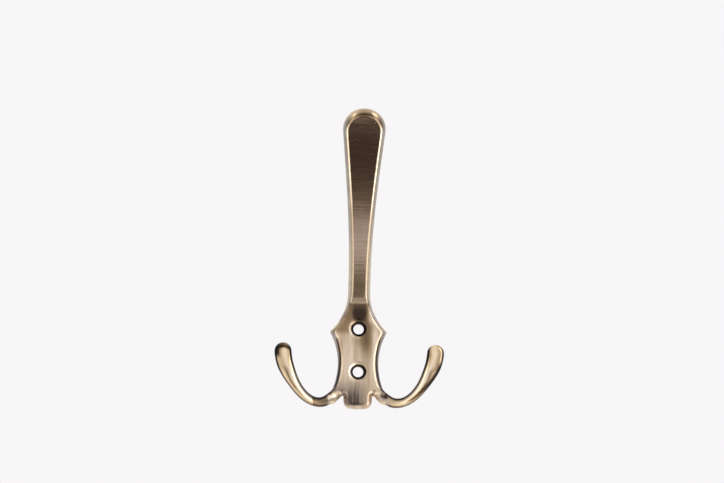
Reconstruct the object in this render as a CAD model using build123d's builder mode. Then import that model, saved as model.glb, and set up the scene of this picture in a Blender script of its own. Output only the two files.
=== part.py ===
"""Triple coat hook: one die casting with a long upper arm and two lower prongs."""
import os
from math import asin, atan2, cos, degrees, hypot, pi, radians, sin

from build123d import *

os.makedirs("parts", exist_ok=True)

# Frame: origin midway between the screw holes on the wall face, +Z up, front towards -Y.

# Overall size
overall_height = 125.0
overall_width = 75.0
arm_projection = 54.0

# Back plate
plate_thickness = 5.0
crown_radius = 90.0
shoulder_width = 26.6
shoulder_height = 8.7
waist_width = 18.6
corner_width = 24.8
corner_height = -19.4
edge_bevel = 1.7
back_edge_bevel = 0.6

# Tongue below the plate
tongue_width = 13.0
tongue_bottom = -26.6
tongue_bow = 0.7
tongue_corner_radius = 3.4
notch_height = -20.0
notch_radius = 0.7

# Screw holes
hole_pitch = 19.6
hole_diameter = 4.8
countersink_diameter = 8.4
countersink_angle = 90.0

# Long arm
neck_width = 10.2
neck_length = 7.0
bend_start = 14.6
bend_radius = 27.0
bend_angle = 25.0
tip_width = 18.8
tip_flare = 5.0

# Prongs: where each leaves the plate, its lowest stretch and its tip
prong_root_x = 6.5
prong_root_depth = 2.2
prong_root_height = -17.0
prong_root_angle = 35.0
prong_root_size = 4.8
prong_root_thickness = 4.2
prong_low_x = 18.0
prong_low_depth = 8.2
prong_low_height = -24.2
prong_low_size = 3.9
prong_low_thickness = 4.7
prong_forward_angle = 34.0
prong_tip_depth = 19.0
prong_tip_height = -3.2
prong_tip_diameter = 7.9

# Arm line: a short bend out of the plate, then one long arc that ends at the overall size
half_thickness = plate_thickness / 2
arm_top = tongue_bottom + overall_height
mid_bend_radius = bend_radius + half_thickness
bend_end_height = bend_start + mid_bend_radius * sin(radians(bend_angle))
bend_end_depth = half_thickness + mid_bend_radius * (1 - cos(radians(bend_angle)))
tip_tilt = bend_angle
for _ in range(12):
    lean = radians(tip_tilt)
    reach_up = half_thickness * sin(lean) - back_edge_bevel * min(sin(lean), cos(lean))
    reach_out = half_thickness * cos(lean) - edge_bevel * min(sin(lean), cos(lean))
    rise = arm_top - reach_up - bend_end_height
    run = arm_projection - reach_out - bend_end_depth
    tip_tilt = 2 * degrees(atan2(run, rise)) - bend_angle
lean = radians(tip_tilt)
arm_turn = tip_tilt - bend_angle
mid_arm_radius = hypot(rise, run) / (2 * sin(radians(arm_turn / 2)))
arm_length = run * sin(lean) + rise * cos(lean)

# Half widths of the outline
shoulder_x = shoulder_width / 2
waist_x = waist_width / 2
corner_x = corner_width / 2
neck_x = neck_width / 2
tongue_x = tongue_width / 2
tip_radius = tip_width / 2
waist_height = (shoulder_height + corner_height) / 2
neck_join = bend_end_height + neck_length / 2

# Front outline: the plate is cut straight back, the arm square to its own end
with BuildPart() as outline:
    with BuildSketch(Plane.XZ) as plate_outline:
        with BuildLine():
            bottom_end = tongue_bottom + tongue_bow
            bottom = TangentArc((0, tongue_bottom), (tongue_x, bottom_end), tangent=(1, 0))
            tongue_side = Line(bottom @ 1, (tongue_x, notch_height))
            foot = Line(tongue_side @ 1, (corner_x, corner_height))
            ThreePointArc(foot @ 1, (waist_x, waist_height), (shoulder_x, shoulder_height))
            TangentArc((neck_x, bend_end_height), (shoulder_x, shoulder_height), tangent=(0, -1))
            neck = Line((neck_x, bend_end_height), (neck_x, neck_join))
            Line(neck @ 1, (0, neck_join))
            mirror(about=Plane.YZ)
        make_face()
        lower_corners = plate_outline.vertices().filter_by(lambda v: abs(v.Y - bottom_end) < 0.01)
        fillet(lower_corners, tongue_corner_radius)
        notches = plate_outline.vertices().filter_by(lambda v: abs(v.Y - notch_height) < 0.01)
        fillet(notches, notch_radius)
    extrude(amount=arm_projection)
    arm_end = Vector(0, -(bend_end_depth + run), bend_end_height + rise)
    along_arm = Vector(0, -sin(lean), cos(lean))
    tip_centre = arm_end - along_arm * tip_radius
    arm_plane = Plane(tip_centre, x_dir=(1, 0, 0), z_dir=(0, -cos(lean), -sin(lean)))
    with BuildSketch(arm_plane):
        with BuildLine():
            arm_foot = tip_radius - arm_length
            flare_way = (sin(radians(tip_flare)), cos(radians(tip_flare)))
            flare_point = (tip_radius * flare_way[1], -tip_radius * flare_way[0])
            arm_neck = Line((neck_x, arm_foot), (neck_x, arm_foot + neck_length))
            Spline(arm_neck @ 1, flare_point, tangents=[(0, 1), flare_way])
            TangentArc((0, tip_radius), flare_point, tangent=(1, 0))
            Line((0, arm_foot), arm_neck @ 0)
            mirror(about=Plane.YZ)
        make_face()
    extrude(amount=arm_projection, both=True)

# Body: the side profile turned about an upright axis behind the wall, which crowns the front
with BuildPart() as casting:
    with BuildSketch(Plane.YZ):
        with BuildLine():
            low = tongue_bottom - plate_thickness
            past_tip = arm_turn * 1.3
            front = Line((-plate_thickness, low), (-plate_thickness, bend_start))
            front_bend = JernArc(front @ 1, front % 1, bend_radius, bend_angle)
            front_arm = JernArc(front_bend @ 1, front_bend % 1, mid_arm_radius - half_thickness, past_tip)
            back = Line((0, low), (0, bend_start))
            back_bend = JernArc(back @ 1, back % 1, bend_radius + plate_thickness, bend_angle)
            back_arm = JernArc(back_bend @ 1, back_bend % 1, mid_arm_radius + half_thickness, past_tip)
            Line(front @ 0, back @ 0)
            Line(front_arm @ 1, back_arm @ 1)
        make_face()
    crown_turn = degrees(asin((shoulder_x + plate_thickness) / crown_radius))
    revolve(axis=Axis((0, crown_radius, 0), (0, 0, 1)), revolution_arc=crown_turn)
    mirror(about=Plane.YZ)
    add(outline.part, mode=Mode.INTERSECT)
    fronts = casting.faces().filter_by(lambda f: f.normal_at().dot(Vector(0, -1, -0.5)) > 0.8)
    backs = casting.faces().filter_by(lambda f: f.normal_at().dot(Vector(0, 1, 0.5)) > 0.8)
    chamfer([e for e in fronts.edges() if sum(e in f.edges() for f in fronts) == 1], edge_bevel)
    chamfer([e for e in backs.edges() if sum(e in f.edges() for f in backs) == 1], back_edge_bevel)

# Right-hand prong: sections along a line that turns out, forward and up to a round tip
root_point = Vector(prong_root_x, -prong_root_depth, prong_root_height)
low_point = Vector(prong_low_x, -prong_low_depth, prong_low_height)
tip_point = Vector((overall_width - prong_tip_diameter) / 2, -prong_tip_depth, prong_tip_height)
root_way = Vector(cos(radians(prong_root_angle)), 0, -sin(radians(prong_root_angle)))
low_way = Vector(cos(radians(prong_forward_angle)), -sin(radians(prong_forward_angle)), 0)
root_span = (low_point - root_point).length
tip_span = (tip_point - low_point).length
with BuildPart() as prong:
    with BuildLine() as prong_line:
        root_handle = root_point + root_way * root_span / 3
        low_handle = low_point - low_way * root_span / 3
        rise_handle = low_point + low_way * tip_span * 0.36
        tip_handle = tip_point - Vector(0, 0, tip_span * 0.2)
        root_line = Bezier(root_point, root_handle, low_handle, low_point)
        rise_line = Bezier(low_point, rise_handle, tip_handle, tip_point)
    line = prong_line.wires()[0]
    low_at = root_line.length / (root_line.length + rise_line.length)
    stations = [0, low_at / 2] + [low_at + step * (1 - low_at) for step in (0, 0.23, 0.46, 0.69, 0.88)]
    for at in stations:
        swell = (1 - cos(pi * max(0, (at - low_at) / (1 - low_at)) ** 1.5)) / 2
        root = max(0, 1 - at / low_at)
        square = 0.5523 + 0.36 * max(0, 1 - at / 0.7)
        x = (prong_low_thickness + swell * (prong_tip_diameter - prong_low_thickness)) / 2
        x += root * (prong_root_thickness - prong_low_thickness) / 2
        y = (prong_low_size + swell * (prong_tip_diameter - prong_low_size)) / 2
        y += root * (prong_root_size - prong_low_size) / 2
        with BuildSketch(Plane(line @ at, x_dir=(0, -1, 0), z_dir=line % at)):
            with BuildLine():
                Bezier((x, 0), (x, square * y), (square * x, y), (0, y))
                Bezier((0, y), (-square * x, y), (-x, square * y), (-x, 0))
                Bezier((-x, 0), (-x, -square * y), (-square * x, -y), (0, -y))
                Bezier((0, -y), (square * x, -y), (x, -square * y), (x, 0))
            make_face()
    with BuildSketch(Plane(tip_point, x_dir=(0, -1, 0), z_dir=(0, 0, 1))):
        with BuildLine():
            for quarter in (0, 90, 180, 270):
                CenterArc((0, 0), prong_tip_diameter / 2, quarter, 90)
        make_face()
    loft()
    with Locations(tip_point):
        Sphere(prong_tip_diameter / 2, arc_size1=0, align=(Align.CENTER, Align.CENTER, Align.MIN))

# Prongs joined on both sides, then the countersunk screw holes
with casting:
    add(prong.part)
    add(mirror(prong.part, about=Plane.YZ))
    with Locations(Plane.XZ.offset(plate_thickness)):
        with GridLocations(1, hole_pitch, 1, 2):
            CounterSinkHole(hole_diameter / 2, countersink_diameter / 2,
                            depth=plate_thickness * 2, counter_sink_angle=countersink_angle)

casting.part.label = "hook_casting"
export_step(casting.part, "parts/hook_casting.step")
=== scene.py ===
from math import cos, hypot, prod, radians, sin, sqrt
from statistics import fmean

import bmesh
import bpy
from mathutils import Matrix, Vector, geometry, kdtree


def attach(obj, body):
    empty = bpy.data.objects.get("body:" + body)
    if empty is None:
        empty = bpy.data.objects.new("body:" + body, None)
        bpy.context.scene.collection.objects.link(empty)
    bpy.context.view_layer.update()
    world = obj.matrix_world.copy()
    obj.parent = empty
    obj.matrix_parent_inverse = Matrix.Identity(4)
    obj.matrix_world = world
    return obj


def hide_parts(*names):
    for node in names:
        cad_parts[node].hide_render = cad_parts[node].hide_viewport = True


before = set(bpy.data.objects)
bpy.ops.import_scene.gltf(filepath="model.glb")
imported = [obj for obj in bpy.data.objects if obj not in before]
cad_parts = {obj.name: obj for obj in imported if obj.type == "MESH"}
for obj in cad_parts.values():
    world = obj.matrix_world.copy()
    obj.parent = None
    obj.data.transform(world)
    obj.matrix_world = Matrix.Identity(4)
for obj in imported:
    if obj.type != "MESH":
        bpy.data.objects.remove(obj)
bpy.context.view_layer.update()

# Hook casting: plate, long arm, tongue and both prongs, die cast in one go in zinc alloy.
# The edges are tumbled round, the flats are brushed on a belt, and the whole is plated,
# darkened and relieved to an antique brass. Two screws through the plate hold it.
mm = 0.001

# Sizes of the casting, in millimetres
casting_thickness = 5.0
crown_radius = 90.0
bend_start = 14.6
bend_radius = 27.0
bend_angle = radians(25.0)
bend_centre = (-casting_thickness - bend_radius, bend_start)
arm_radius = 254.861
arm_centre = (bend_centre[0] + (bend_radius - arm_radius) * cos(bend_angle),
              bend_centre[1] + (bend_radius - arm_radius) * sin(bend_angle))
arm_from = 30.0
neck_top = 22.0
neck_curve_x = 29.78
neck_curve_z = 27.07
neck_curve_radius = 24.678
shoulder_height = 8.7
waist_half = 9.3
waist_height = -5.35
waist_flare = 3.1
waist_to_corner = 14.05
hole_pitch = 19.6
hole_radius = 2.4
hole_lip = 0.8
countersink_ring = 3.75
tongue_bottom = -26.6
tongue_half = 7.0
tongue_roll = 0.9
tongue_roll_length = 3.4
prong_line = (
    ((6.5, -2.2, -17.0), (10.55, -2.2, -19.84), (13.9, -5.43, -24.2), (18.0, -8.2, -24.2)),
    ((18.0, -8.2, -24.2), (26.44, -13.89, -24.2), (33.55, -19.0, -8.85), (33.55, -19.0, -3.2)),
)
prong_steps = 40
prong_tip_x = 33.55
prong_tip_z = -3.2
prong_from = 13.0
prong_skin_from = 13.5
prong_top = 3.0
prong_flat_low = 2.10
prong_flat_tip = 2.75
prong_ridge = 0.12
prong_fill = 0.22
prong_half_least = 1.7
root_from = 6.5
root_drop = 1.6

# How the skin is tumbled, ground and smoothed
merge_distance = 0.002
fine_step = 0.17
skin_step = 0.315
tumbling_passes = 170
plate_tumbling = 0.8
arm_tumbling = 0.36
prong_tumbling = 0.55
smoothing_pull = 0.5
smoothing_passes = 6
prong_smoothing_passes = 16
plate_reach = 0.06
arm_reach = 0.18
# How often the relief and the painted shade and highlights are averaged with their neighbours
relief_passes = 8
shade_passes = 5
root_shade_passes = 3

# Colours of the finish and of its painted light, from the relieved edges down to the darkest painted lines
# brass_pale and neck_gold colour painted highlights
brass_pale = (0.95, 0.84, 0.68)
neck_gold = (1.0, 0.81, 0.46)
gold_edge = (0.84, 0.64, 0.37)
prong_gold = (0.80, 0.63, 0.405)
brass_light = (0.785, 0.64, 0.46)
plate_light = (0.765, 0.645, 0.51)
brass_mid = (0.67, 0.53, 0.37)
bronze_dark = (0.50, 0.375, 0.26)
# Painted shade colours, darkest last; umber also colours the real dark finish in hollows
bronze_deep = (0.31, 0.215, 0.120)
bronze_grey = (0.30, 0.24, 0.19)
umber = (0.045, 0.029, 0.022)
shade_black = (0.014, 0.010, 0.009)

# Roughness of each part of the finish, and the depth of the brush lines
arm_sheen = (0.05, 0.10)
plate_sheen = (0.17, 0.30)
prong_sheen = 0.19
root_sheen = 0.40
tip_sheen = 0.24
dull_sheen = 0.36
brush_strength = 0.06
brush_depth = 0.0002


def fade(value, start, end):
    """0 at start and 1 at end, eased at both."""
    share = min(1.0, max(0.0, (value - start) / (end - start)))
    return share * share * (3 - 2 * share)


def patch(strength, *bounds):
    """Strength within bounds; each is a measure, where the patch starts and where it is full."""
    return strength * prod(fade(*bound) for bound in bounds)


def casting_depth(height, below):
    """Depth of the front skin on the centre line, or of a skin that lies below it."""
    if height <= bend_start:
        return below - casting_thickness
    if height <= bend_start + (bend_radius + below) * sin(bend_angle):
        reach, (depth, level) = bend_radius + below, bend_centre
    else:
        reach, (depth, level) = arm_radius + below, arm_centre
    return depth + sqrt(reach ** 2 - (height - level) ** 2)


# Merged copy of the solid, in millimetres, with a fine even skin
casting = bmesh.new()
casting.from_mesh(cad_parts["hook_casting"].data)
bmesh.ops.scale(casting, vec=(1 / mm, 1 / mm, 1 / mm), verts=casting.verts)
bmesh.ops.remove_doubles(casting, verts=casting.verts, dist=merge_distance)
rough_mesh = bpy.data.meshes.new("rough_casting")
casting.to_mesh(rough_mesh)
casting.free()
rough_casting = bpy.data.objects.new("rough_casting", rough_mesh)
bpy.context.scene.collection.objects.link(rough_casting)
fine_skin = rough_casting.modifiers.new("fine_skin", "REMESH")
fine_skin.mode = "VOXEL"
fine_skin.voxel_size = fine_step
depsgraph = bpy.context.evaluated_depsgraph_get()
fine_mesh = bpy.data.meshes.new_from_object(rough_casting.evaluated_get(depsgraph))
rough_casting.modifiers.clear()

# Line of the right-hand prong, to find the place of a point on either prong
stations = []
for start, first, second, end in prong_line:
    stations += geometry.interpolate_bezier(start, first, second, end, prong_steps)[len(stations) > 0:]
last_station = len(stations) - 1
nearest = kdtree.KDTree(len(stations))
for number, station in enumerate(stations):
    nearest.insert(station, number)
nearest.balance()


def place_on_prong(x, y, z):
    """Share of the prong's length, how far to its front and its outer side, and its front's way."""
    station, number, _ = nearest.find((abs(x), y, z))
    ahead = stations[min(number + 1, last_station)] - stations[max(number - 1, 0)]
    ahead.normalize()
    front = Vector((0, -1, 0)) + ahead * ahead.y
    front.normalize()
    offset = Vector((abs(x), y, z)) - station
    return number / last_station, offset.dot(front), offset.dot(ahead.cross(front)), front


# Ground fronts of the prongs and the rolled lower edge of the tongue
casting = bmesh.new()
casting.from_mesh(fine_mesh)
bpy.data.meshes.remove(fine_mesh)
half_thickness = casting_thickness / 2
plate_verts, arm_verts, prong_verts = [], [], []
for number, vert in enumerate(casting.verts):
    x, y, z = vert.co
    above_bottom = (z - tongue_bottom) / tongue_roll_length
    if abs(x) < tongue_half and above_bottom < 1 and y < -half_thickness:
        before_middle = (-half_thickness - y) / half_thickness
        vert.co.y += tongue_roll * (1 - above_bottom) ** 2 * before_middle
    if abs(x) > prong_from and z < prong_top:
        prong_verts.append(number)
        share, to_front, to_side, front = place_on_prong(x, y, z)
        flat = prong_flat_low + (prong_flat_tip - prong_flat_low) * fade(share, 0.45, 1.0)
        past = to_front - (flat - prong_ridge * abs(to_side))
        if past > 0:
            vert.co.x -= front.x * past if x > 0 else -front.x * past
            vert.co.y -= front.y * past
            vert.co.z -= front.z * past
    elif z > bend_start:
        arm_verts.append(number)
    else:
        plate_verts.append(number)
casting.to_mesh(rough_mesh)
casting.free()

# Tumbled edges and a lighter skin
tumbling = rough_casting.modifiers.new("tumbling", "SMOOTH")
tumbling.factor = smoothing_pull
tumbling.iterations = tumbling_passes
wear = rough_casting.vertex_groups.new(name="wear")
wear.add(plate_verts, plate_tumbling, "REPLACE")
wear.add(arm_verts, arm_tumbling, "REPLACE")
wear.add(prong_verts, prong_tumbling, "REPLACE")
tumbling.vertex_group = "wear"
light_skin = rough_casting.modifiers.new("light_skin", "REMESH")
light_skin.mode = "VOXEL"
light_skin.voxel_size = skin_step
depsgraph = bpy.context.evaluated_depsgraph_get()
hook_mesh = bpy.data.meshes.new_from_object(rough_casting.evaluated_get(depsgraph))
bpy.data.objects.remove(rough_casting)
bpy.data.meshes.remove(rough_mesh)

# Polished skin, which is smoothest on the prongs
casting = bmesh.new()
casting.from_mesh(hook_mesh)
for _ in range(smoothing_passes):
    bmesh.ops.smooth_vert(casting, verts=casting.verts, factor=smoothing_pull,
                          use_axis_x=True, use_axis_y=True, use_axis_z=True)
prong_skin = [vert for vert in casting.verts
              if abs(vert.co.x) > prong_skin_from and vert.co.z < prong_top]
for _ in range(prong_smoothing_passes):
    bmesh.ops.smooth_vert(casting, verts=prong_skin, factor=smoothing_pull,
                          use_axis_x=True, use_axis_y=True, use_axis_z=True)

# Holes drilled clear, and belt-ground skins brought back to their true curves
for vert in casting.verts:
    x, y, z = vert.co
    level = hole_pitch / 2 if z > 0 else -hole_pitch / 2
    from_hole = hypot(x, z - level)
    if from_hole < hole_radius + hole_lip:
        share = patch(1.0, (y, -3.6, -2.9), (y, -0.1, -0.7),
                      (from_hole, hole_radius + hole_lip, hole_radius + 0.5))
        grown = (hole_radius / from_hole - 1) * share
        vert.co.x = x + x * grown
        vert.co.z = z + (z - level) * grown
        continue
    from_axis = hypot(x, y - crown_radius)
    depth = crown_radius - from_axis
    reach = arm_reach if z > bend_start else plate_reach
    for below in (0.0, casting_thickness) if z >= bend_start else (0.0,):
        true_depth = casting_depth(z, below)
        off = depth - true_depth
        if abs(off) < reach:
            share = (crown_radius - true_depth - off * fade(abs(off), reach / 4, reach)) / from_axis
            vert.co.x = x * share
            vert.co.y = min(0.0, crown_radius + (y - crown_radius) * share)
            break
casting.normal_update()

# Fuller prongs with deeper roots, and a back that stays flat on the wall
for vert in casting.verts:
    x, y, z = vert.co
    fill = patch(prong_fill, (abs(x), 12.0, 14.5), (z, -6.0, -12.0))
    vert.co += vert.normal * fill
    if abs(x) > root_from:
        vert.co.z -= patch(root_drop, (abs(x), root_from, 7.8), (abs(x), 13.4, 9.2), (z, -18.6, -20.8))
    vert.co.y = min(0.0, vert.co.y)
casting.normal_update()

# Half width of the prong at each station
prong_half = [0.0] * len(stations)
for vert in casting.verts:
    x, y, z = vert.co
    if abs(x) > prong_from and z < prong_top:
        share, _, to_side, _ = place_on_prong(x, y, z)
        number = round(share * last_station)
        prong_half[number] = max(prong_half[number], abs(to_side))
prong_half = [max(prong_half_least, *prong_half[max(0, number - 2):number + 3])
              for number in range(len(stations))]
prong_half = [fmean(prong_half[max(0, number - 3):number + 4]) for number in range(len(stations))]


def prong_shade_and_highlight(x, y, z):
    """Painted shade and reflections of a prong: dark side lines, marks along its front and on its tip, and a
    painted highlight band.
    """
    share, to_front, to_side, _ = place_on_prong(x, y, z)
    across = to_side / prong_half[round(share * last_station)]
    # Painted shade and dark reflections follow; the left prong is painted darker than the right, as the light
    # falls
    on_left = 1.0 if x < 0 else 0.0
    on_front = 0.30 + 0.70 * fade(to_front, -0.4, 0.6)
    inner_edge = -0.30 - 0.28 * fade(share, 0.50, 0.80)
    inner_side = patch(on_front, (across, inner_edge, inner_edge - 0.20))
    outer_side = patch(0.95 * on_front, (across, 0.62, 0.80))
    tan_side = patch(0.10 + 0.08 * on_left, (across, 0.0, 0.22))
    tan_tip = patch(0.42 - 0.16 * on_left, (share, 0.80, 0.92), (abs(across + 0.1), 0.05, 0.35))
    crease_edge = 0.05 + 0.10 * fade(share, 0.80, 0.55)
    crease_end = (1.0, 0.90) if on_left else (0.66, 0.58)
    crease = patch(0.42, (abs(across - crease_edge), 0.20, 0.05), (share, 0.44, 0.60),
                   (share, *crease_end))
    wedge_edge = 0.14 + 0.60 * min(1.0, max(0.0, (share - 0.58) / 0.28))
    wedge = patch(1 - on_left, (abs(across - wedge_edge), 0.30, 0.15), (share, 0.54, 0.63),
                  (share, 0.98, 0.88), (to_front, -1.2, -0.2))
    above_tip, beside_tip = z - prong_tip_z, abs(x) - prong_tip_x
    cap_edge = 1.7 - 0.12 * beside_tip ** 2
    cap = patch(0.28 + 0.42 * on_left, (above_tip, cap_edge - 0.4, cap_edge + 0.2))
    cap += patch(0.25, (above_tip, 2.4, 3.6))
    cap_line = patch(0.30 + 0.70 * on_left, (abs(above_tip - cap_edge), 1.15, 0.50),
                     (to_front, 0.0, 1.0))
    tip_side = patch(0.98 * on_left, (beside_tip, 0.9, 1.8), (above_tip, -5.0, -1.5),
                     (to_front, -1.4, -0.3))
    tip_streak = patch(0.45 * on_left, (abs(beside_tip - 0.6), 0.9, 0.2), (above_tip, -7.0, -2.0))
    dark = max(inner_side, outer_side, tan_side, tan_tip, crease, wedge, cap, cap_line,
               tip_side, tip_streak)
    # Painted highlight: a pale band along the prong's front
    pale = patch(0.75, (abs(across + 0.22), 0.34, 0.12), (share, 0.40, 0.62))
    return dark - pale * (1 - dark)


def past_neck(x, z):
    """How far a point lies outside the plate's edge between shoulder and neck."""
    level = max(shoulder_height, min(neck_top, z))
    return abs(x) - neck_curve_x + sqrt(neck_curve_radius ** 2 - (neck_curve_z - level) ** 2)


def past_waist(x, z):
    """How far a point lies outside the plate's edge between shoulder and lower corner."""
    return abs(x) - waist_half - waist_flare * ((z - waist_height) / waist_to_corner) ** 2


def plate_shade_and_highlight(x, y, z):
    """Painted shade and highlights of the plate: in the holes, in the bend and along its edges, with darker
    soft streaks.
    """
    above_hole = z - hole_pitch / 2 if z > 0 else z + hole_pitch / 2
    from_hole = hypot(x, above_hole)
    # Painted shade in the countersink and hole wall, offset towards the lower right
    ring = countersink_ring + 0.4 * (x - above_hole) / max(from_hole, 0.1)
    in_hole = patch(1.0, (from_hole, ring + 0.35, ring - 0.35), (y, -4.9, -4.4))
    if y > casting_depth(z, 2.0):
        return in_hole
    # Painted dark reflection in the bend, and an olive painted reflection at the shoulders
    below_neck = (z, neck_top, neck_top - 1.0)
    bend_half = 1.2 + 2.6 * fade(z, 8.0, 17.0)
    in_bend = patch(0.97 - 0.1455 * fade(z, 17.0, 21.0), (z, 7.5, 14.5), below_neck,
                    (abs(x - 0.3), bend_half + 2.4, bend_half - 1.5))
    olive = patch(0.62 + 0.08 * fade(z, 12.0, 15.0), (z, 5.5, 9.2), below_neck,
                  (x, 4.5, -3.0), (past_neck(x, z), -0.4, -2.0))
    # Darker soft streaks right of the holes and low on the plate
    streak_x = 3.6
    streak_half = 6.5 + 2.5 * fade(z, 0.0, 4.0) if x < streak_x else 6.3 - 4.1 * fade(z, 10.5, 14.0)
    right_streak = patch(0.22 + 0.55 * fade(z, -9.0, 4.5), (abs(x - streak_x), streak_half, 0.0),
                         (z, -14.0, -9.0), (z, 19.0, 16.0))
    low_streak = patch(0.88 - 0.176 * fade(x, -2.0, -6.0), (z, -8.0, -23.0), (z, -25.9, -24.5),
                       (x, 8.5, -2.0))
    if z < -20.0:
        low_streak *= fade(x, -6.3, -5.2)
    # Darker towards the lower corners
    corner = patch(0.9, (z, -2.0, -12.0), (z, -22.5, -20.5), (past_waist(x, z), -1.3, -0.6))
    # Painted dark reflection along the plate's waist edges
    waist_line = patch(0.95, (abs(past_waist(x, z) + 1.15), 0.75, 0.25),
                       (z, -20.5, -18.5), (z, 7.0, 4.0))
    # Painted shade on the tongue's sides, darker on the right, and on the right shoulder
    tongue_side = patch(0.9 if x > 0 else 0.2, (abs(x), 5.7, 6.3), (abs(x), 7.6, 7.0),
                        (z, -20.5, -22.0))
    shoulder_tan = patch(0.28, (x, 3.5, 7.0), (z, 1.0, 7.0), (z, 19.0, 15.0))
    dark = max(in_hole, in_bend, olive, right_streak, low_streak, corner, waist_line,
               tongue_side, shoulder_tan)
    # Painted highlights: a band right of the holes and bright crescents on the hole rims
    right_band = patch(0.45, (abs(x - 7.7), 1.6, 0.4), (z, -12.0, -3.0), (z, 11.0, 6.0))
    hole_rim = patch(0.9, (abs(from_hole - 4.05), 0.7, 0.25), (x, 2.0, -0.5))
    return dark - max(right_band, hole_rim) * (1 - dark)


def root_shade_and_highlight(x, z, shade_and_highlight):
    """Painted shade line under a prong's root, and its facet as a painted dark reflection on the right prong
    and a painted highlight on the left.
    """
    line_level = -21.1 - 0.36 * (abs(x) - 7.2)
    line = patch(0.18 if x > 0 else 0.9, (abs(z - line_level), 0.6, 0.25),
                 (abs(x), 7.0, 8.2), (abs(x), 15.5, 12.5))
    facet_x = 11.5
    facet_level = (-21.1 if x > 0 else -21.5) - 0.3 * (abs(x) - facet_x)
    facet = patch(1.0, (abs(abs(x) - facet_x), 2.2, 1.4), (abs(z - facet_level), 1.1, 0.7))
    if x > 0:
        return shade_and_highlight + (0.95 - shade_and_highlight) * max(line, facet)
    shade_and_highlight += (0.95 - shade_and_highlight) * line
    return shade_and_highlight + (-1.0 - shade_and_highlight) * facet * (1 - line)


def sunk_at(x, y, z):
    """How far a point lies behind the front skin."""
    return crown_radius - hypot(x, y - crown_radius) - casting_depth(z, 0.0)


def dull_edge_at(x, y, z):
    """1 on the edges and sides of the lower arm, which the brush did not reach."""
    sunk = sunk_at(x, y, z)
    return patch(1.0, (sunk, 0.0, 0.15), (sunk, 4.6, 4.0), (z, 18.0, 24.0), (z + 0.67 * x, 75.0, 55.0))


def shade_and_highlight_at(x, y, z):
    """1 where the painted shade or the darker streaks are darkest, -1 where the painted highlight is
    brightest.
    """
    sunk = sunk_at(x, y, z)
    off_back = (sunk, 4.6, 4.0)
    # Painted highlight lightens the arm's sides; painted shade dims the bright line along the lower arm's
    # edges
    arm_side = patch(0.36 * fade(z, 92.0, 85.0) + 0.54 * fade(z, 54.0, 38.0),
                     (sunk, 0.5, 1.2), off_back, (z, 14.0, 20.0))
    edge_line = patch(0.60, (sunk, 0.0, 0.07), (sunk, 0.9, 0.4), (z, 18.0, 24.0),
                      (z + 0.67 * x, 70.0, 55.0))
    if z > arm_from:
        # Painted shade on the rim of the arm's tip, darkest at the middle
        rim = 0.40 - (0.25 if x < 0 else 0.16) * fade(abs(x), 1.5, 4.0)
        rim += patch(0.62, (sunk, 1.7, 0.5), (abs(x), 9.2, 7.2))
        return patch(rim, (sunk, 0.0, 0.07), off_back, (z, 87.0, 92.0)) - arm_side + edge_line
    on_prong = fade(abs(x), 11.0, 14.5) if z < -19.0 else fade(abs(x), 13.5, 14.5)
    shade_and_highlight = 0.0
    if on_prong < 1:
        shade_and_highlight += (plate_shade_and_highlight(x, y, z) - arm_side + edge_line) * (1 - on_prong)
    if on_prong > 0 and z < prong_top:
        shade_and_highlight += prong_shade_and_highlight(x, y, z) * on_prong
    if z < -17.0 and root_from < abs(x) < 17.0:
        shade_and_highlight = root_shade_and_highlight(x, z, shade_and_highlight)
    return shade_and_highlight


# How far each place stands out or lies in a hollow, and the painted shade and highlights at each place
relief = []
for vert in casting.verts:
    pull = sum(((edge.other_vert(vert).co - vert.co) for edge in vert.link_edges), vert.co * 0)
    spread = sum(edge.calc_length() ** 2 for edge in vert.link_edges)
    relief.append(-2 * pull.dot(vert.normal) / spread)
shade_and_highlight = [shade_and_highlight_at(*vert.co) for vert in casting.verts]
dull_edge = [dull_edge_at(*vert.co) for vert in casting.verts]
neighbours = [[edge.other_vert(vert).index for edge in vert.link_edges] for vert in casting.verts]
everywhere = range(len(neighbours))
off_roots = [number for number, vert in enumerate(casting.verts)
             if vert.co.z >= -18.0 or not 7.0 < abs(vert.co.x) < 15.5]


def averaged(values, numbers):
    """The numbered verts' values averaged with their neighbours', the others as they are."""
    result = list(values)
    for number in numbers:
        around = neighbours[number]
        result[number] = (values[number] + sum(values[near] for near in around)) / (1 + len(around))
    return result


for _ in range(relief_passes):
    relief = averaged(relief, everywhere)
# Painted shade and highlights are softened, less at the prong roots
for done in range(shade_passes):
    shade_and_highlight = averaged(shade_and_highlight, everywhere if done < root_shade_passes else off_roots)

# The finished piece, in metres, with its relief, painted shade and highlights and dull edges kept on its
# verts
bmesh.ops.scale(casting, vec=(mm, mm, mm), verts=casting.verts)
casting.to_mesh(hook_mesh)
casting.free()
hook_mesh.name = "coat_hook"
hook_mesh.shade_smooth()
for name, values in (("relief", relief), ("shade_and_highlight", shade_and_highlight), ("dull_edge", dull_edge)):
    hook_mesh.attributes.new(name, "FLOAT", "POINT").data.foreach_set("value", values)
coat_hook = bpy.data.objects.new("coat_hook", hook_mesh)
bpy.context.scene.collection.objects.link(coat_hook)

# Antique brass: brush lines run down the plate and across the arm, edges are relieved to gold
antique_brass = bpy.data.materials.new("antique_brass")
antique_brass.use_nodes = True
nodes = antique_brass.node_tree.nodes
links = antique_brass.node_tree.links
brass = nodes["Principled BSDF"]
brass.inputs["Metallic"].default_value = 1.0
place = nodes.new("ShaderNodeTexCoord")


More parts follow.
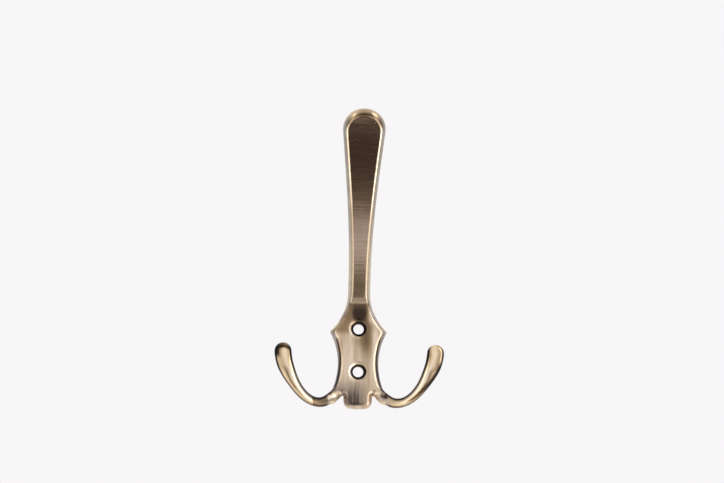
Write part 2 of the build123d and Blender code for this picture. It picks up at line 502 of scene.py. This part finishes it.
def brush_lines(across, along, scale, detail):
    """Noise drawn out into lines; across and along are its scales over x and z."""
    stretch = nodes.new("ShaderNodeMapping")
    stretch.inputs["Scale"].default_value = (across, across, along)
    noise = nodes.new("ShaderNodeTexNoise")
    noise.inputs["Scale"].default_value = scale
    noise.inputs["Detail"].default_value = detail
    noise.inputs["Roughness"].default_value = 0.6
    links.new(place.outputs["Object"], stretch.inputs["Vector"])
    links.new(stretch.outputs["Vector"], noise.inputs["Vector"])
    return noise.outputs["Fac"]


def finish_on_verts(name):
    """One of the values that are kept on the hook's verts."""
    kept = nodes.new("ShaderNodeAttribute")
    kept.attribute_name = name
    return kept.outputs["Fac"]


def blend_values(share, first, second):
    """The first value where share is 0, the second where it is 1."""
    mix = nodes.new("ShaderNodeMix")
    links.new(share, mix.inputs[0])
    for socket, value in ((mix.inputs[2], first), (mix.inputs[3], second)):
        if isinstance(value, float):
            socket.default_value = value
        else:
            links.new(value, socket)
    return mix.outputs[0]


def blend_colours(share, first, second):
    """The first colour where share is 0, the second where it is 1."""
    mix = nodes.new("ShaderNodeMix")
    mix.data_type = "RGBA"
    links.new(share, mix.inputs[0])
    for socket, colour in ((mix.inputs[6], first), (mix.inputs[7], second)):
        if isinstance(colour, tuple):
            socket.default_value = (*colour, 1.0)
        else:
            links.new(colour, socket)
    return mix.outputs[2]


def ease(value, low, high, to_low, to_high):
    """to_low where the value is low, to_high where it is high, eased at both."""
    step = nodes.new("ShaderNodeMapRange")
    step.interpolation_type = "SMOOTHSTEP"
    links.new(value, step.inputs["Value"])
    step.inputs["From Min"].default_value = low
    step.inputs["From Max"].default_value = high
    step.inputs["To Min"].default_value = to_low
    step.inputs["To Max"].default_value = to_high
    return step.outputs["Result"]


# Where a point of the hook lies, in metres
axes = nodes.new("ShaderNodeSeparateXYZ")
links.new(place.outputs["Object"], axes.inputs[0])
height = axes.outputs["Z"]
to_either_side = nodes.new("ShaderNodeMath")
to_either_side.operation = "ABSOLUTE"
links.new(axes.outputs["X"], to_either_side.inputs[0])
sideways = to_either_side.outputs[0]
on_arm = ease(height, 0.0165, 0.022, 0.0, 1.0)
on_neck = ease(height, 0.012, 0.016, 0.0, 1.0)
on_prong = ease(sideways, 0.0125, 0.0155, 0.0, 1.0)
at_tip = ease(height, 0.088, 0.092, 0.0, 1.0)
low_plate = blend_values(on_prong, ease(height, -0.012, -0.004, 1.0, 0.0), 0.0)
at_root = blend_values(ease(height, -0.020, -0.017, 1.0, 0.0), 0.0, ease(sideways, 0.007, 0.009, 0.0, 1.0))
at_root = blend_values(ease(sideways, 0.017, 0.022, 0.0, 1.0), at_root, 0.0)

# Brush lines and the softer shades between them
fine_lines = blend_values(on_arm, brush_lines(6.0, 0.25, 260.0, 5.0), brush_lines(0.2, 6.0, 240.0, 5.0))
shades = blend_values(on_arm, brush_lines(2.2, 0.22, 90.0, 3.0), brush_lines(0.35, 1.6, 90.0, 3.0))
lightness = blend_values(on_arm, ease(shades, 0.36, 0.60, 0.0, 1.0), ease(shades, 0.36, 0.60, 0.5, 1.0))

# Colour: brushed metal, then the relieved edges and the dark finish in hollows, then the painted highlights
# and painted shade
relief_kept = finish_on_verts("relief")
shade_and_highlight_kept = finish_on_verts("shade_and_highlight")
relieved = ease(relief_kept, 0.16, 0.60, 0.0, 1.0)
hollow = ease(relief_kept, -0.45, -0.05, 1.0, 0.0)
# Painted highlight where the kept value is below 0, painted shade where it is above
painted_highlight = ease(shade_and_highlight_kept, -1.0, 0.0, 1.0, 0.0)
darkened = nodes.new("ShaderNodeMath")
darkened.operation = "MULTIPLY"
darkened.use_clamp = True
links.new(shade_and_highlight_kept, darkened.inputs[0])
# Painted shade is streaked by the brush lines on the lower plate
links.new(blend_values(low_plate, 1.0, ease(fine_lines, 0.35, 0.65, 0.85, 1.12)), darkened.inputs[1])
colour = blend_colours(lightness, bronze_dark, blend_colours(on_arm, plate_light, brass_light))
colour = blend_colours(ease(fine_lines, 0.35, 0.65, 0.0, 0.5), colour, brass_mid)
colour = blend_colours(on_prong, colour, prong_gold)
colour = blend_colours(relieved, colour, gold_edge)
colour = blend_colours(hollow, colour, umber)
colour = blend_colours(painted_highlight, colour, blend_colours(on_neck, brass_pale, neck_gold))
# Painted shade colours, then the darkest painted lines
deep = blend_colours(low_plate, bronze_deep, bronze_grey)
colour = blend_colours(ease(darkened.outputs[0], 0.0, 0.7, 0.0, 1.0), colour, deep)
darkest = blend_colours(on_prong, umber, shade_black)
colour = blend_colours(ease(darkened.outputs[0], 0.5, 1.0, 0.0, 1.0), colour, darkest)
links.new(colour, brass.inputs["Base Color"])

# Sheen: the arm is brightest, the roots and the arm's lower edges are dull
sheen = blend_values(on_arm, ease(fine_lines, 0.3, 0.7, *plate_sheen), ease(fine_lines, 0.3, 0.7, *arm_sheen))
sheen = blend_values(on_prong, sheen, prong_sheen)
sheen = blend_values(at_root, sheen, root_sheen)
sheen = blend_values(at_tip, sheen, blend_values(relieved, sheen, tip_sheen))
sheen = blend_values(finish_on_verts("dull_edge"), sheen, dull_sheen)
links.new(sheen, brass.inputs["Roughness"])
bump = nodes.new("ShaderNodeBump")
bump.inputs["Strength"].default_value = brush_strength
bump.inputs["Distance"].default_value = brush_depth
links.new(blend_values(on_prong, fine_lines, 0.5), bump.inputs["Height"])
links.new(bump.outputs["Normal"], brass.inputs["Normal"])
hook_mesh.materials.clear()
hook_mesh.materials.append(antique_brass)
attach(coat_hook, "root")
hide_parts("hook_casting")

# Floor: a plain pale sweep of matt studio paper, rolled out well below the hook, so that
# it stays out of the picture from the front and lights the metal softly from below.
floor_level = -0.34
floor_half = 20.0
floor_colour = (0.95, 0.94, 0.945, 1)
floor_roughness = 0.8
floor_mesh = bpy.data.meshes.new("floor")
sweep = bmesh.new()
bmesh.ops.create_grid(sweep, x_segments=1, y_segments=1, size=floor_half)
bmesh.ops.translate(sweep, vec=(0, 0, floor_level), verts=sweep.verts)
sweep.to_mesh(floor_mesh)
sweep.free()
floor = bpy.data.objects.new("floor", floor_mesh)
bpy.context.scene.collection.objects.link(floor)
studio_paper = bpy.data.materials.new("pale_floor")
studio_paper.use_nodes = True
paper = studio_paper.node_tree.nodes["Principled BSDF"]
paper.inputs["Base Color"].default_value = floor_colour
paper.inputs["Roughness"].default_value = floor_roughness
floor_mesh.materials.append(studio_paper)

# Studio boards: dark and grey cards that stand beside the hook or lie below it, as in a
# product studio. They show only as reflections in the metal, and shade from one edge to
# the other. Each row gives a centre, a size, a turn about Y, and the near and far colours.
low = -0.30
lying, standing = 0, 90
boards = {
    "low_far_board": (
        (0, -0.760, low), (0.40, 0.310), lying, (0.40, 0.37, 0.37), (0.40, 0.37, 0.37)),
    "low_brown_board": (
        (0, -0.4955, low), (0.13, 0.219), lying, (0.19, 0.16, 0.14), (0.19, 0.16, 0.14)),
    "low_grey_board": (
        (0, -0.357, low), (0.14, 0.058), lying, (0.51, 0.48, 0.52), (0.49, 0.46, 0.50)),
    "low_shade_board": (
        (0, -0.310, low), (0.19, 0.036), lying, (0.21, 0.175, 0.15), (0.068, 0.050, 0.047)),
    "low_dark_board": (
        (0, -0.26625, low), (0.19, 0.0515), lying, (0.062, 0.045, 0.044), (0.062, 0.045, 0.044)),
    "low_near_board": (
        (0, -0.2315, low), (0.19, 0.018), lying, (0.062, 0.045, 0.044), (0.55, 0.47, 0.36)),
    "left_side_board": (
        (-0.45, 0.25, -0.07), (0.30, 1.0), standing, (0.44, 0.49, 0.63), (0.44, 0.49, 0.63)),
    "right_side_board": (
        (0.45, 0.25, -0.07), (0.30, 1.0), standing, (0.48, 0.53, 0.67), (0.48, 0.53, 0.67)),
    "left_high_board": (
        (-0.45, 0.25, 0.23), (0.30, 1.0), standing, (0.56, 0.62, 0.80), (0.56, 0.62, 0.80)),
    "right_high_board": (
        (0.45, 0.25, 0.23), (0.30, 1.0), standing, (0.60, 0.66, 0.85), (0.60, 0.66, 0.85)),
    "left_floor_board": (
        (-0.80, 0.58, low), (0.90, 0.90), lying, (0.66, 0.72, 0.92), (0.66, 0.72, 0.92)),
    "right_floor_board": (
        (0.80, 0.58, low), (0.90, 0.90), lying, (0.70, 0.76, 0.96), (0.70, 0.76, 0.96)),
}
for name, (centre, size, turn, near_colour, far_colour) in boards.items():
    board_mesh = bpy.data.meshes.new(name)
    card = bmesh.new()
    bmesh.ops.create_grid(card, x_segments=1, y_segments=1, size=0.5)
    tones = [far_colour if corner.co.y > 0 else near_colour for corner in card.verts]
    bmesh.ops.scale(card, vec=(*size, 1), verts=card.verts)
    card.transform(Matrix.Rotation(radians(turn), 4, "Y"))
    bmesh.ops.translate(card, vec=centre, verts=card.verts)
    card.to_mesh(board_mesh)
    card.free()
    tone_data = board_mesh.attributes.new("tone", "FLOAT_COLOR", "POINT").data
    for corner, tone in zip(tone_data, tones):
        corner.color = (*tone, 1)
    board = bpy.data.objects.new(name, board_mesh)
    bpy.context.scene.collection.objects.link(board)
    glow = bpy.data.materials.new(name)
    glow.use_nodes = True
    glow_nodes = glow.node_tree.nodes
    glow_nodes.remove(glow_nodes["Principled BSDF"])
    emission = glow_nodes.new("ShaderNodeEmission")
    tone_kept = glow_nodes.new("ShaderNodeAttribute")
    tone_kept.attribute_name = "tone"
    glow.node_tree.links.new(tone_kept.outputs["Color"], emission.inputs["Color"])
    glow.node_tree.links.new(emission.outputs[0], glow_nodes["Material Output"].inputs[0])
    board_mesh.materials.append(glow)
    board.visible_camera = False
    board.visible_diffuse = False
    board.visible_shadow = False

# Light: an even pale surround, as in a light tent, with a soft box to the left and the right
# of the camera and one low on each side. Each row gives a place, a size and a power in watts.
surround_colour = (0.938, 0.922, 0.930, 1)
lit_point = Vector((0, -0.02, 0.03))
soft_boxes = {
    "left_box": ((-0.45, -0.50, 0.08), (0.18, 0.7), 0.45),
    "right_box": ((0.45, -0.48, 0.10), (0.24, 0.8), 1.1),
    "right_low_box": ((0.30, -0.16, -0.28), (0.20, 0.5), 0.55),
    "left_low_box": ((-0.32, -0.16, -0.28), (0.20, 0.5), 0.30),
}
surround = bpy.data.worlds.new("pale_surround")
surround.use_nodes = True
surround.node_tree.nodes["Background"].inputs["Color"].default_value = surround_colour
bpy.context.scene.world = surround
for name, (position, size, watts) in soft_boxes.items():
    lamp = bpy.data.lights.new(name, "AREA")
    lamp.shape = "RECTANGLE"
    lamp.size, lamp.size_y = size
    lamp.energy = watts
    soft_box = bpy.data.objects.new(name, lamp)
    soft_box.location = position
    soft_box.rotation_euler = (lit_point - Vector(position)).to_track_quat("-Z", "Y").to_euler()
    bpy.context.scene.collection.objects.link(soft_box)

# Camera: a normal lens about 45 cm in front of the hook, a little below the plate and
# looking up, which is where the photograph was taken from.
camera_lens = bpy.data.cameras.new("camera")
camera_lens.lens = 48.42
camera_lens.sensor_width = 36.0
camera = bpy.data.objects.new("camera", camera_lens)
camera.location = (-0.014557, -0.444746, -0.066997)
camera.rotation_euler = (radians(105.001), radians(-0.657), radians(-2.206))
bpy.context.scene.collection.objects.link(camera)
bpy.context.scene.camera = camera
bpy.context.scene.view_settings.view_transform = "Standard"
